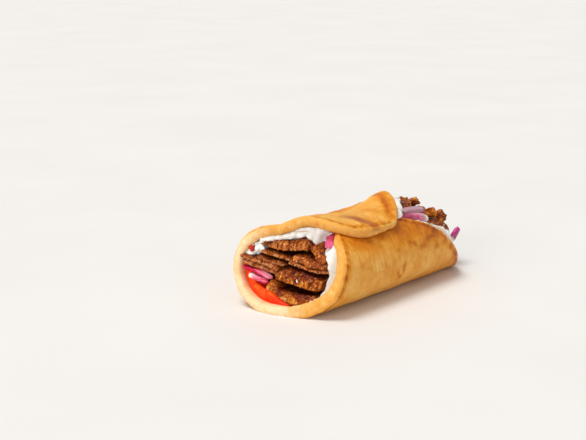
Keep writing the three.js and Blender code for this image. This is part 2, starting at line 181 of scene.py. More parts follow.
def relaxed(mesh, points, rounds):
    """The points with their unevenness evened out, and the volume kept."""
    ends = np.zeros(len(mesh.edges) * 2, np.int32)
    mesh.edges.foreach_get("vertices", ends)
    first, second = ends.reshape(-1, 2).T
    count = np.bincount(ends, minlength=len(points))[:, None]
    for pull in (0.5, -0.52) * rounds:
        total = np.empty_like(points)
        for axis in range(3):
            total[:, axis] = np.bincount(first, points[second, axis], len(points))
            total[:, axis] += np.bincount(second, points[first, axis], len(points))
        points = points + pull * (total / count - points)
    return points


def applied(piece):
    """Bakes a piece's modifiers into its mesh."""
    graph = bpy.context.evaluated_depsgraph_get()
    mesh = bpy.data.meshes.new_from_object(piece.evaluated_get(graph))
    piece.modifiers.clear()
    piece.data = mesh


# For each kind of piece, the size of its small even faces in mm and how many rounds even them out.
FINENESS = {
    "meat": (0.45, 3),
    "crisp_scrap": (0.4, 8),
    "sauce": (0.6, 6),
    "sauce_smears": (0.35, 3),
    "tomato_slice": (0.6, 8),
    "tomato_scrap": (0.35, 8),
    "onion": (0.35, 14),
}


def join_up(piece, kind):
    """Makes one skin of even small faces, as fine as `kind` says, and rounds it off."""
    voxel, rounds = FINENESS[kind]
    even = piece.modifiers.new("even", "REMESH")
    even.mode = "VOXEL"
    even.voxel_size = voxel * MM
    applied(piece)
    move_points(piece.data, relaxed(piece.data, points_of(piece.data), rounds))
    piece.data.shade_smooth()


def fine_copy(node, name, kind):
    """A copy of a node's solid with even small faces, its facets rounded off, and its points."""
    piece = new_object(name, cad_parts[node].data.copy())
    join_up(piece, kind)
    return piece, points_of(piece.data)


def coarser_where(piece, hidden, keep):
    """Joins small faces where `hidden` is near 1, down to about the share `keep` of all faces."""
    group = piece.vertex_groups.new(name="hidden")
    for level in range(1, 11):
        picked = np.nonzero(np.round(hidden * 10) == level)[0]
        group.add(picked.tolist(), level / 10, "REPLACE")
    fewer = piece.modifiers.new("fewer", "DECIMATE")
    fewer.ratio = keep
    fewer.vertex_group = group.name
    applied(piece)
    piece.vertex_groups.clear()


def squares(grid):
    """Four-sided faces between the rows and columns of a grid of point numbers."""
    return np.stack([grid[:-1, :-1], grid[1:, :-1], grid[1:, 1:], grid[:-1, 1:]], -1).reshape(-1, 4)


# ---------------------------------------------------------------- materials


class Look:
    """A material, with short calls for its nodes.

    A value is a number, a colour, the name of an attribute or another node's socket.
    """

    KIND, SHADER = "materials", "Principled BSDF"

    def __init__(self, name, **settings):
        self.owner = getattr(bpy.data, self.KIND).new(name)
        self.owner.use_nodes = True
        self.tree = self.owner.node_tree
        self.shader = self.tree.nodes[self.SHADER]
        self.set(**settings)

    def set(self, **settings):
        """Sets the shader's sockets. A socket's name has _ for each space."""
        for socket, value in settings.items():
            self.put(self.shader.inputs[socket.replace("_", " ")], value)

    def put(self, socket, value):
        if isinstance(value, str):
            value = self.attribute(value)
        if isinstance(value, bpy.types.NodeSocket):
            self.tree.links.new(value, socket)
        elif isinstance(value, tuple) and len(value) == 3 and socket.type == "RGBA":
            socket.default_value = (*value, 1)
        else:
            socket.default_value = value

    def node(self, kind, values, output=0, **settings):
        node = self.tree.nodes.new("ShaderNode" + kind)
        for name, value in settings.items():
            setattr(node, name, value)
        for socket, value in values.items():
            self.put(node.inputs[socket], value)
        return node.outputs[output]

    def attribute(self, name, vector=False):
        return self.node("Attribute", {}, "Vector" if vector else "Fac", attribute_name=name)

    def calc(self, operation, a, b):
        return self.node("Math", {0: a, 1: b}, operation=operation)

    def add(self, *terms):
        """The sum of the terms. A term in brackets is the product of what it holds."""
        terms = [self.times(*term) if isinstance(term, tuple) else term for term in terms]
        return reduce(lambda total, term: self.calc("ADD", total, term), terms)

    def times(self, *factors):
        return reduce(lambda total, factor: self.calc("MULTIPLY", total, factor), factors)

    def scaled(self, vector, scale):
        return self.node("Mapping", {"Vector": vector, "Scale": scale})

    def noise(self, vector, scale, detail=2.0, rough=0.5):
        sockets = {"Vector": vector, "Scale": scale, "Detail": detail, "Roughness": rough}
        return self.node("TexNoise", sockets, "Fac")

    def uneven(self, vector, scale, detail=3.0, rough=0.6):
        """Noise about 0, mostly between -0.2 and 0.2."""
        return self.calc("SUBTRACT", self.noise(vector, scale, detail, rough), 0.5)

    def between(self, value, low, high, to_low=0.0, to_high=1.0):
        sockets = {"Value": value, "From Min": low, "From Max": high, "To Min": to_low, "To Max": to_high}
        return self.node("MapRange", sockets, interpolation_type="SMOOTHSTEP")

    def ramp(self, value, places, colours):
        """The colour for a value, between colours that each have a place from 0 to 1."""
        node = self.tree.nodes.new("ShaderNodeValToRGB")
        self.put(node.inputs["Fac"], value)
        elements = node.color_ramp.elements
        while len(elements) < len(places):
            elements.new(0.5)
        for element, place, colour in zip(elements, places, colours):
            element.position = place
            element.color = (*colour, 1)
        return node.outputs["Color"]

    def mix(self, share, a, b):
        return self.node("Mix", {0: share, 6: a, 7: b}, 2, data_type="RGBA")

    def bump(self, height, distance, strength):
        """A bumpy normal. `distance` is how high in mm a height of 1 stands."""
        return self.node("Bump", {"Height": height, "Distance": distance * MM, "Strength": strength})


class WorldLook(Look):
    """The same for a world."""

    KIND, SHADER = "worlds", "Background"


SIX_STEPS = (0.0, 0.22, 0.42, 0.60, 0.78, 1.0)  # the places of six colours along a ramp


def dress(piece, look, slot, *nodes):
    """Gives a piece its material and its body, and hides the nodes that it stands for. Its slot is not used.
    """
    piece.data.materials.clear()
    piece.data.materials.append(look.owner)
    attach(piece, "root")
    if nodes:
        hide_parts(*nodes)
    return piece


# ---------------------------------------------------------------- the sheet of bread

THICKNESS = 6.5
PRESSED_FLAT = 2.2  # how deep the underside is flattened by the wrap's weight
FLAP_GAP = 0.8  # air between the flap and the bread under it

# The roll's section, at stations [x, value]: half width, height and sideways drift of its centre.
HALF_WIDTH = [[-97, 42], [0, 40.8], [97, 33]]
HEIGHT = [[-97, 60.5], [-40, 55], [10, 57], [97, 36]]
DRIFT = [[-97, -4.4], [-30, -2.5], [97, -1]]
SQUARENESS = 2.25  # exponent of the section's oval, 2 is an ellipse

# The bread's outline before rolling. Angles go round the roll, in degrees: 0 is the underside, 90 the back,
# 180 the top, past 180 the flap that lies on the front side, and negative angles the front side under it.
MIDDLE_X, TIP_X = -14, -17.5  # where the tucked edge and the flap reach furthest round the roll
BACK_ANGLE, FRONT_ANGLE = 236, 162  # the flap's tip and the tucked edge
MOUTH_REACH, FAR_REACH = 78, 106
# The edge on the back and the front side: nearly straight round the front mouth, round at the far one.
MOUTH_POWER, FAR_POWER = (4, 3.2), (1.7, 1.95)
FAR_CUT = 0.52  # how much the far edge draws back towards the top
DIP_ANGLE, DIP_SPREAD, DIP_SHARE = -150, 26, 0.85  # and how much more it does at the tucked corner
SLANT, SLANT_TURN = 11, 50  # how far the front mouth is skewed, on each side
MM_PER_DEGREE = np.radians(1) * HALF_WIDTH[1][1]  # the sheet's length for each degree round the roll

# The flap rises over the tucked edge between these angles.
# It dips along its middle, and its far corner curls up.
FLAP_RISE = (148, 190)
FLAP_BENDS = [  # height, angle, x, angle spread, x spread
    (5, 198, 20, 36, 24),
    (-4.6, 176, -21, 30, 24),
]


def sheet_point(angle, x, out=0.0):
    """Points of the bread's middle sheet at angles round the roll and places along X, moved out by `out`."""
    half_width = through(HALF_WIDTH, x) - THICKNESS / 2
    half_height = through(HEIGHT, x) / 2 - THICKNESS / 2 + PRESSED_FLAT / 2
    sine, cosine = np.sin(np.radians(angle)), np.cos(np.radians(angle))
    radius = np.abs(sine / half_width) ** SQUARENESS + np.abs(cosine / half_height) ** SQUARENESS
    radius = radius ** (-1 / SQUARENESS) + (THICKNESS + FLAP_GAP) * smooth(*FLAP_RISE, angle) + out
    for height, at_angle, at_x, angle_spread, x_spread in FLAP_BENDS:
        radius = radius + height * bell(angle, at_angle, angle_spread) * bell(x, at_x, x_spread)
    middle = half_height + THICKNESS / 2 - PRESSED_FLAT
    return np.stack([x + 0 * radius, through(DRIFT, x) + radius * sine, middle - radius * cosine], -1)


def unit(vectors):
    return vectors / np.maximum(np.linalg.norm(vectors, axis=-1, keepdims=True), 1e-12)


def sheet_normal(angle, x):
    turn = sheet_point(angle + 0.5, x) - sheet_point(angle - 0.5, x)
    along = sheet_point(angle, x + 0.5) - sheet_point(angle, x - 0.5)
    return unit(np.cross(turn, along))


def edges(angle):
    """The X at which the sheet's outline crosses each angle, at the front mouth and at the far mouth."""
    inset = THICKNESS / 2  # what the rounded rim takes up
    back = angle > 0
    reach_round = np.where(back, BACK_ANGLE, FRONT_ANGLE) - inset / MM_PER_DEGREE
    share = np.minimum(1, np.abs(angle) / reach_round)
    mouth_power = np.where(back, *MOUTH_POWER)
    far_power = np.where(back, *FAR_POWER)
    mouth = (MOUTH_REACH - inset) * (1 - share**mouth_power) ** (1 / mouth_power)
    draw = 1 - FAR_CUT * np.sin(np.radians(np.clip(angle, -180, 180) / 2)) ** 2
    dip = 1 - DIP_SHARE * bell(angle, DIP_ANGLE, DIP_SPREAD)
    far = (FAR_REACH - inset) * (1 - share**far_power) ** (1 / far_power) * draw * dip
    slant = SLANT * np.sin(np.radians(angle + SLANT_TURN)) * smooth(0, 1, mouth / MOUTH_REACH)
    middle = MIDDLE_X + (TIP_X - MIDDLE_X) * smooth(180, BACK_ANGLE, angle)
    return middle - mouth - slant, middle + far


# ---------------------------------------------------------------- bread

ROWS_FRONT, ROWS_BACK, COLUMNS, RIM_ROUNDS = 120, 176, 170, 12
EVEN_SHARE, EVEN_REACH = 0.7, 0.9  # the share of the rows that lie evenly, and how much of the way they cover
COLUMNS_CLOSER = 0.08  # how much closer the columns lie towards the mouths

# How much thicker the bread is along its rim, how far in that reaches, and the front mouth's thick lower lip.
RIM_SWELL, SWELL_REACH = 0.08, 5
LIP_ANGLE, LIP_SPREAD, LIP_SWELL = -58, 46, 0.95

# Toasted patches on the bread: angle, x, reach round, reach along, strength.
TOASTED = [
    (-128, -40, 14, 22, 0.14),
    (-120, -6, 12, 26, 0.20),
    (-108, 26, 12, 22, 0.15),
    (-96, 62, 16, 14, 0.06),
    (-113, -48, 6, 6, 0.12),
    (-118, -57, 5, 5, 0.16),
    (-104, -2, 3.0, 3.2, 0.30),
    (-101, 3, 2.2, 2.2, 0.30),
    (-97, 12, 3.4, 4.2, 0.30),
    (-103, 21, 2.6, 5.0, 0.24),
    (-92, 29.3, 3.8, 2.8, 0.40),
    (-96, 37.5, 2.6, 2.2, 0.36),
    (-89, 47.0, 3.8, 3.2, 0.40),
    (-78, -18.5, 3.4, 1.6, 0.40),
    (-74, -15.5, 1.8, 2.4, 0.40),
    (-82, -10.5, 5.0, 1.8, 0.48),
    (-74, 64, 22, 14, 0.16),
    (-81, 57, 3.2, 3.0, 0.30),
    (-68, 65, 4.5, 3.0, 0.34),
    (-56, 66, 5.0, 2.6, 0.30),
    (120, 0, 24, 40, 0.14),
    (86, -48, 14, 18, 0.16),
    (96, -20, 4, 3, 0.30),
    (88, 8, 3, 4, 0.34),
    (104, 22, 4, 3, 0.32),
    (70, 26, 16, 20, 0.14),
    (58, 44, 3, 3, 0.30),
    (150, -30, 20, 30, 0.08),
]
# A darker smear across the flap, from one end to the other: angle, x.
SMEAR = [(201, -47), (216, -41), (232, -36)]
SMEAR_WIDTH = 5.2


def bread_rows():
    """The angles of the rows, ever closer towards the flap's tip and the tucked edge."""
    sides = []
    for count, reach in ((ROWS_FRONT, FRONT_ANGLE), (ROWS_BACK, BACK_ANGLE)):
        share = np.arange(1, count + 1) / count
        evenly = EVEN_REACH * share / EVEN_SHARE
        rest = (share - EVEN_SHARE) / (1 - EVEN_SHARE)
        closing = EVEN_REACH + (1 - EVEN_REACH) * (1 - (1 - rest) ** 3)
        sides.append((reach - THICKNESS / 2 / MM_PER_DEGREE) * np.where(share < EVEN_SHARE, evenly, closing))
    return np.concatenate([-sides[0][::-1], [0.0], sides[1]])


def bread_grid():
    """The middle sheet's points and normals and their places on the flat sheet, each in rows and columns."""
    angles = bread_rows()
    mouth, far = edges(angles)
    spread = np.linspace(0, 1, COLUMNS + 1)
    spread = spread - COLUMNS_CLOSER * np.sin(2 * np.pi * spread) / np.pi
    x = mouth[:, None] + (far - mouth)[:, None] * spread
    angle = np.broadcast_to(angles[:, None], x.shape)
    places = np.stack([x, angle * MM_PER_DEGREE, 0 * x], -1)
    return sheet_point(angle, x), sheet_normal(angle, x), places


def edge_numbers(grid):
    """The edge's points: the front mouth from the tucked edge to the flap's tip, and the far mouth."""
    return np.concatenate([grid[:, 0], grid[-2:0:-1, -1]])


def distance_from(edge, places):
    """How far each place is from the edge, measured on the flat sheet."""
    nearest = np.full(len(places), 1e9)
    for point in edge[::2]:
        nearest = np.minimum(nearest, ((places[:, :2] - point[:2]) ** 2).sum(1))
    return np.sqrt(nearest)


def outward_of(loop, normals):
    """The way out of a closed loop of points, square to it and to its normals."""
    return unit(np.cross(np.roll(loop, -1, 0) - np.roll(loop, 1, 0), normals))


def half_thickness(places, from_edge, side):
    """Half the bread's thickness, uneven, at its outside (`side` 1), its inside (-1) or between them."""
    uneven = 1 + 0.10 * noise(places, 23, 3) + 0.06 * noise(places, 9, 4)
    lip = bell(places[:, 1] / MM_PER_DEGREE, LIP_ANGLE, LIP_SPREAD) * (places[:, 0] < MIDDLE_X)
    swell = RIM_SWELL + np.where(side < 0, LIP_SWELL * lip, 0)
    return THICKNESS / 2 * uneven * (1 + swell * np.exp(-from_edge / SWELL_REACH))


def rim_rounds(middle, normal, places):
    """The rim's rounds from the outside to the inside: their points, places, sides and ways from the edge."""
    outward, outward_on_sheet = outward_of(middle, normal), outward_of(places, (0, 0, 1))
    bulge = 1 + 0.14 * layers(places, 11, 8)[:, None] + 0.07 * noise(places, 3.5, 9)[:, None]
    ones = np.ones(len(middle))
    rounds = []
    for turn in np.pi * np.arange(1, RIM_ROUNDS) / RIM_ROUNDS:
        out = np.sin(turn) ** 0.8 * bulge * half_thickness(places, 0, 1)[:, None]
        across = np.cos(turn) * half_thickness(places, 0, np.cos(turn))[:, None]
        rounds.append((
            middle + across * normal + out * outward,
            places + outward_on_sheet * np.sin(turn) * THICKNESS / 2,
            np.cos(turn) * ones,
            -np.sin(turn) * THICKNESS / 2 * ones,
        ))
    return rounds


def bread_faces(grid, edge):
    """The squares of the outside and of the inside, and those between the rim's rounds."""
    outside = squares(grid)
    faces = [outside, outside[:, ::-1] + grid.size]
    rounds = [edge]
    for step in range(RIM_ROUNDS - 1):
        rounds.append(2 * grid.size + step * len(edge) + np.arange(len(edge)))
    rounds.append(edge + grid.size)
    for near, after in zip(rounds, rounds[1:]):
        faces.append(np.stack([near, after, np.roll(after, -1), np.roll(near, -1)], -1))
    return np.concatenate(faces)


def bread_shape():
    """The bread's points and faces, and for each point its place on the flat sheet, its side (1 outside, -1
    inside, between them on the rim) and how far it is from the edge."""
    middle, normal, places = bread_grid()
    grid = np.arange(middle[..., 0].size).reshape(middle.shape[:2])
    edge = edge_numbers(grid)
    middle, normal, places = (part.reshape(-1, 3) for part in (middle, normal, places))
    from_edge = distance_from(places[edge], places)
    parts = []
    for side in (1.0, -1.0):
        thick = half_thickness(places, from_edge, side)[:, None]
        parts.append((middle + side * thick * normal, places, np.full(len(places), side), from_edge))
    parts += rim_rounds(middle[edge], normal[edge], places[edge])
    points, places, side, from_edge = map(np.concatenate, zip(*parts))
    places[:, 2] = side * THICKNESS / 2
    return points, bread_faces(grid, edge), places, side, from_edge


def bread_relief(places, side, from_edge, blisters):
    """How far the surface rises, in mm: blisters, dents, faint ridges round the roll and finer lumps."""
    dimples = noise(places, 5.5, 23)
    ridges = noise(places * [1, 0.13, 1], 2.3, 31)
    fine = noise(places, 2.4, 41)
    rise = 0.42 * blisters + 0.16 * dimples + 0.17 * ridges + 0.11 * fine
    # A shallow crease runs along the edge where the browned face ends.
    return rise - 0.30 * bell(from_edge, 0.6, 0.8) * (side > 0.3)


def along_flap(x, angle):
    """From 1 along the far part of the flap to 0 elsewhere."""
    return smooth(165, 190, angle) * smooth(-24, -6, x)


def toast_on(places, warped, from_edge, blisters):
    """How much more than the rest of the bread each point is browned."""
    toast = np.zeros(len(places))
    for at_angle, at_x, round_reach, along_reach, strength in TOASTED:
        away = ((warped[:, 1] / MM_PER_DEGREE - at_angle) / round_reach) ** 2
        away = away + ((warped[:, 0] - at_x) / along_reach) ** 2
        toast += strength * np.exp(-away)
    toast += 0.10 * blisters
    x, angle = places[:, 0], places[:, 1] / MM_PER_DEGREE
    upper_front = smooth(-84, -112, angle) * smooth(-66, -40, x)
    # The flap is browned most along its far edge, a little way in from its rim.
    flap_edge = along_flap(x, angle) * bell(from_edge, 4.6, 2.6)
    return toast + 0.10 * upper_front + 0.52 * flap_edge * (0.8 + 0.4 * noise(places, 7, 53))


def make_bread():
    points, faces, places, side, from_edge = bread_shape()
    piece = new_piece("flatbread", points, faces)
    blisters = layers(places, 13, 21, 2)
    off_the_floor = smooth(0.0, 3.0, points[:, 2])
    raise_points(piece, points, bread_relief(places, side, from_edge, blisters) * off_the_floor, 0)

    x, angle = places[:, 0], places[:, 1] / MM_PER_DEGREE
    warped = places[:, :2] + 2.2 * np.stack([noise(places, 6, 51), noise(places, 6, 52)], -1)
    # The rim's brown line is strongest round the mouth and the tip, and faint along the far edge.
    faint = smooth(-82, -96, angle) * smooth(20, 36, x) + along_flap(x, angle)
    set_attributes(piece.data, {
        "sheet": places,
        "side": side,
        "from_edge": from_edge,
        "toast": toast_on(places, warped, from_edge, blisters),
        # The rim is palest from the bottom round to the back, and more golden on top and in front.
        "pale": smooth(-45, 0, angle) * (1 - smooth(105, 150, angle)),
        "smear": smear_on(warped, angle),
        # Fine wrinkles run round the front of the roll.
        "wrinkled": 0.25 + 0.75 * (1 - smooth(-75, -40, angle)),
        "lined": 1 - 0.7 * faint,
    })
    return piece


def smear_on(warped, angle):
    """From 1 in the middle of the smear on the flap to 0 outside it."""
    smear = np.zeros(len(warped))
    for (start, start_x), (end, end_x) in zip(SMEAR, SMEAR[1:]):
        first = np.array([start_x, start * MM_PER_DEGREE])
        run = np.array([end_x, end * MM_PER_DEGREE]) - first
        share = np.clip(((warped - first) @ run) / (run @ run), 0, 1)
        away = np.linalg.norm(warped - first - share[:, None] * run, axis=1)
        smear = np.maximum(smear, 1 - smooth(0.2, 1.3, away / SMEAR_WIDTH))
    ends = smooth(SMEAR[0][0] - 4, SMEAR[1][0], angle) * (1 - smooth(SMEAR[1][0], SMEAR[2][0] + 4, angle))
    return smear * np.sqrt(ends)


def bread_look():
    look = Look("griddled flatbread", IOR=1.4, Specular_IOR_Level=0.25, Subsurface_Weight=0.12,
                Subsurface_Radius=(1.0, 0.55, 0.25), Subsurface_Scale=0.0015)
    sheet = look.attribute("sheet", vector=True)
    broad = look.uneven(sheet, 0.07, 3.0, 0.55)
    patches = look.uneven(sheet, 0.22)
    streaks = look.uneven(look.scaled(sheet, (1.0, 0.11, 1.0)), 0.6, 3.0, 0.65)
    wrinkles = look.between(look.noise(look.scaled(sheet, (1.0, 0.07, 1.0)), 1.0), 0.58, 0.70)
    grain = look.uneven(sheet, 1.3)
    freckles = look.between(look.noise(sheet, 0.55), 0.60, 0.72)

    # How browned each place is, 0 pale to 1 dark.
    brown = look.add(
        0.41,
        "toast",
        (broad, 0.50),
        (patches, 0.34),
        (streaks, "wrinkled", 0.28),
        (wrinkles, "wrinkled", 0.07),
        (grain, 0.26),
        (freckles, 0.14),
    )
    # A darker line where the face turns into the rim.
    ragged = look.add("from_edge", (patches, 4.5), (grain, 2.2))
    line = look.times(look.between(ragged, -1.0, 0.4), look.between(ragged, 0.8, 4.4, 1.0, 0.0), "lined")
    brown = look.add(brown, (line, look.between(patches, -0.16, 0.16, 0.12, 0.40)))
    outer = look.ramp(brown, SIX_STEPS, [
        (0.94, 0.68, 0.32), (0.88, 0.52, 0.145), (0.80, 0.375, 0.062),
        (0.70, 0.240, 0.008), (0.54, 0.138, 0.004), (0.27, 0.052, 0.003),
    ])
    outer = look.mix(look.times("smear", 0.9), outer, (0.36, 0.095, 0.035))

    # The pale crumb that shows along the rim.
    porous = look.add(0.5, (patches, 0.9), (grain, 0.7))
    steps = (0.2, 0.5, 0.8)
    golden = look.ramp(porous, steps, [(0.66, 0.26, 0.035), (0.78, 0.37, 0.075), (0.88, 0.54, 0.19)])
    creamy = look.ramp(porous, steps, [(0.84, 0.47, 0.17), (0.92, 0.63, 0.35), (0.95, 0.74, 0.50)])
    crumb = look.mix("pale", golden, creamy)
    on_face = look.between(look.add("side", patches), 0.30, 0.85)
    pores = look.noise(sheet, 2.6, 4.0, 0.7)
    height = look.add((pores, 0.5), (streaks, 0.6), (grain, 0.6))
    look.set(
        Base_Color=look.mix(on_face, crumb, outer),
        Roughness=look.between(brown, 0.3, 0.9, 0.62, 0.42),
        Normal=look.bump(height, 0.4, 0.6),
    )
    return look


# ---------------------------------------------------------------- meat

# For each slice: how crusty it is, 0 smooth to 1 all crumbly, and how red, 0 brown to 1 dark red.
SLICES = {
    "front_1": (0.25, 0.10),
    "front_2": (0.65, 0.25),
    "front_3": (0.30, 0.10),
    "front_4": (0.30, 0.15),
    "front_5": (0.45, 0.20),
    "front_6": (0.20, 0.00),
    "front_7": (0.30, 0.20),
    "front_8": (0.30, 0.10),
    "front_9": (0.90, 0.10),
    "front_10": (0.95, 0.10),
    "far_1": (0.35, 0.10),
    "far_2": (0.35, 0.05),
    "far_3": (0.35, 0.20),
    "far_4": (0.45, 0.10),
    "far_5": (0.35, 0.15),
    "far_6": (0.35, 0.05),
}
THIN_SLICES = [f"front_{i}" for i in (3, 4, 6, 7, 8)]
# The slices whose cut side is painted darker and redder above and golden below, partly redder meat and partly
# painted shade under what lies above: where along Y the darker red begins and ends.
RED_AND_SHADE_ABOVE = {"front_9": (-20, -3), "front_10": (-20, 3)}
THIN_RELIEF = 0.6  # how strong a thin slice's relief is, against a thick one's
MEAT_SEED, SCRAP_SEED, SEED_STEP = 100, 400, 13  # no two pieces have the same relief


def grain_of(points):
    """A slice's points along it, across its width and up through its thickness, and the way up."""
    section = points[:, 1:] - points[:, 1:].mean(0)
    across = np.linalg.svd(section[:: max(1, len(section) // 3000)], full_matrices=False)[2][0]
    across = np.array([0, *(across * np.sign(across[0] + 1e-9))])
    up = np.cross([1.0, 0, 0], across)
    return np.stack([points[:, 0], points @ across, points @ up], -1), up


COLUMN_WIDTH = 2.5  # of the strips along a slice in which its end is looked for


def depth_inside(grain, outward):
    """How far each point lies behind the slice's end, which looks to -X or, if `outward` is 1, to +X."""
    place = grain[:, 0] * -outward
    column = np.round((grain[:, 1] - grain[:, 1].min()) / COLUMN_WIDTH).astype(int)
    end = np.full(column.max() + 1, 1e9)
    np.minimum.at(end, column, place)
    return place - end[column]


def red_and_shade_above(name, points, grain, seed):
    """How far each point of a slice is painted dark red instead of crusty, from 0 to 1: partly redder meat,
    partly painted shade on the upper part of its cut side.
    """
    if name not in RED_AND_SHADE_ABOVE:
        return 0
    right, left = RED_AND_SHADE_ABOVE[name]
    height = (grain[:, 2] - grain[:, 2].min()) / np.ptp(grain[:, 2]) + 0.4 * noise(points, 4.5, seed + 17)
    red_and_shade = smooth(0.35, 0.65, height) * smooth(right - 4, right + 4, points[:, 1])
    return red_and_shade * smooth(left + 3, left - 3, points[:, 1])


def meat_relief(points, grain, on_side, size, crusty, seed):
    """How far a slice's surface rises, in mm: its coarse forms and its fine ones."""
    lumps = layers(points, 8, seed, 2)
    folds = 1 - 2 * np.abs(noise(points, 4.2, seed + 5))
    ribs = 1 - 2.4 * np.abs(noise(grain * [0.35, 1.0, 0.2], 1.4, seed + 9))
    crags = pebbles(points, 2.1, seed) - PEBBLES_MEAN
    crumbs = pebbles(points, 1.2, seed + 3) - PEBBLES_MEAN
    pits = smooth(0.34, 0.66, layers(points, 3.1, seed + 7, 2))
    ragged = noise(points, 5.5, seed + 13)
    coarse = size * (0.45 * lumps + 0.16 * folds + 0.6 * on_side * ragged)
    fine = on_side * 0.24 * ribs + size * crusty * 0.56 * crags
    return coarse, fine + (0.14 + 0.20 * crusty) * crumbs - 0.35 * size * pits


# The marks of meat that isn't a slice.
PLAIN_MEAT = {"cut": 0, "inside": 0, "thin": 0, "red": 0}


def make_meat(name, seed):
    """A slice of meat: a fine copy of its solid, with lumps, crisp grains, pits and ribs on its cut sides."""
    piece, points = fine_copy("gyro_meat_" + name, "meat_slice_" + name, "meat")
    thin = name in THIN_SLICES
    outward = 1 if "far" in name else -1
    grain, up = grain_of(points)
    inside = depth_inside(grain, outward)
    on_side = 1 - smooth(0.45, 0.8, np.abs(normals_of(piece.data) @ up))
    crusty, red = SLICES[name]
    red_and_shade = red_and_shade_above(name, points, grain, seed)
    crusty, red = crusty * (1 - 0.4 * red_and_shade), red + (1 - red) * red_and_shade
    coarse, fine = meat_relief(points, grain, on_side, THIN_RELIEF if thin else 1.0, crusty, seed)
    raise_points(piece, points, coarse + fine)
    set_attributes(piece.data, {
        "grain": grain,
        # Painted light: where the fine relief rises the meat is painted lighter, as painted highlights, and
        # in the cracks and pits darker, as painted shade.
        "raised": np.clip(0.5 + 0.75 * fine / (0.3 + 0.35 * crusty), 0, 1),
        "cut": on_side * (1 - smooth(0.8, 4.5, inside)),
        # Painted shade: the further the meat lies behind its slice's end, deeper in the mouth, the darker it
        # is painted; less so on the far slices, which stand out in the light.
        "inside": smooth(1.5, 12, inside) * (0.4 if outward > 0 else 1),
        "thin": float(thin),
        "crisp": crusty,
        # On front_9 and front_10 this also holds painted shade on the upper part of the cut side.
        "red": red,
    })
    coarser_where(piece, smooth(22, 34, inside), 0.4)
    piece.data.shade_smooth()
    return piece


# For each crisp scrap: how light it is, and how crisp.
SCRAPS = [(0.48, 0.9), (0.62, 1.0), (0.26, 0.5)]


def make_scrap(number, lightness, crisp):
    piece, points = fine_copy(f"crisp_meat_scrap_{number}", f"crisp_scrap_{number}", "crisp_scrap")
    seed = SCRAP_SEED + SEED_STEP * number
    folds = 1 - 2 * np.abs(noise(points, 5.0, seed + 5))
    crags = pebbles(points, 2.3, seed) - PEBBLES_MEAN
    crumbs = pebbles(points, 1.0, seed + 3) - PEBBLES_MEAN
    rise = 1.4 * noise(points, 4.2, seed) + 0.5 * folds + 0.45 * crags + 0.3 * crumbs
    raise_points(piece, points, rise)
    # The scrap's own lightness, plus painted highlights on the raised crags and painted shade in the hollows.
    raised = np.clip(lightness + 0.35 * rise, 0, 1)
    set_attributes(piece.data, PLAIN_MEAT | {"grain": points, "raised": raised, "crisp": crisp, "cut": 0.6})
    return piece


# Loose crumbs of meat: how many lie on each front slice's end and on each far slice, past which X they lie,
# and their least and greatest radius.
CRUMBS_IN_FRONT, CRUMBS_FAR = 12, 14
FRONT_CRUMBS_X, FAR_CRUMBS_X = -60, 48
CRUMB_SIZES = (0.35, 0.85)


def make_crumbs(slices):
    chance = np.random.default_rng(7)
    places = []
    for piece in slices:
        points, normals = points_of(piece.data), normals_of(piece.data)
        if "front" in piece.name:
            open_to_view, count = (normals[:, 0] < -0.5) & (points[:, 0] < FRONT_CRUMBS_X), CRUMBS_IN_FRONT
        else:
            open_to_view, count = (normals[:, 2] > 0.2) & (points[:, 0] > FAR_CRUMBS_X), CRUMBS_FAR
        places.append(points[chance.choice(np.nonzero(open_to_view)[0], count)])
    middles = np.concatenate(places)
    radii = chance.uniform(*CRUMB_SIZES, len(middles))
    points, faces = balls(middles, radii, cuts=3)
    crumb = np.repeat(np.arange(len(middles)), len(points) // len(middles))
    stretch = chance.uniform(0.7, 1.5, (len(middles), 3))[crumb]
    shape = (points - middles[crumb]) * stretch * (1 + 0.5 * noise(points, 0.8, 97))[:, None]
    lightness = chance.uniform(0.45, 0.95, len(middles))[crumb]
    points = middles[crumb] + shape
    marks = PLAIN_MEAT | {"grain": points, "raised": lightness, "crisp": 1}
    return new_piece("meat_crumbs", points, faces, marks)


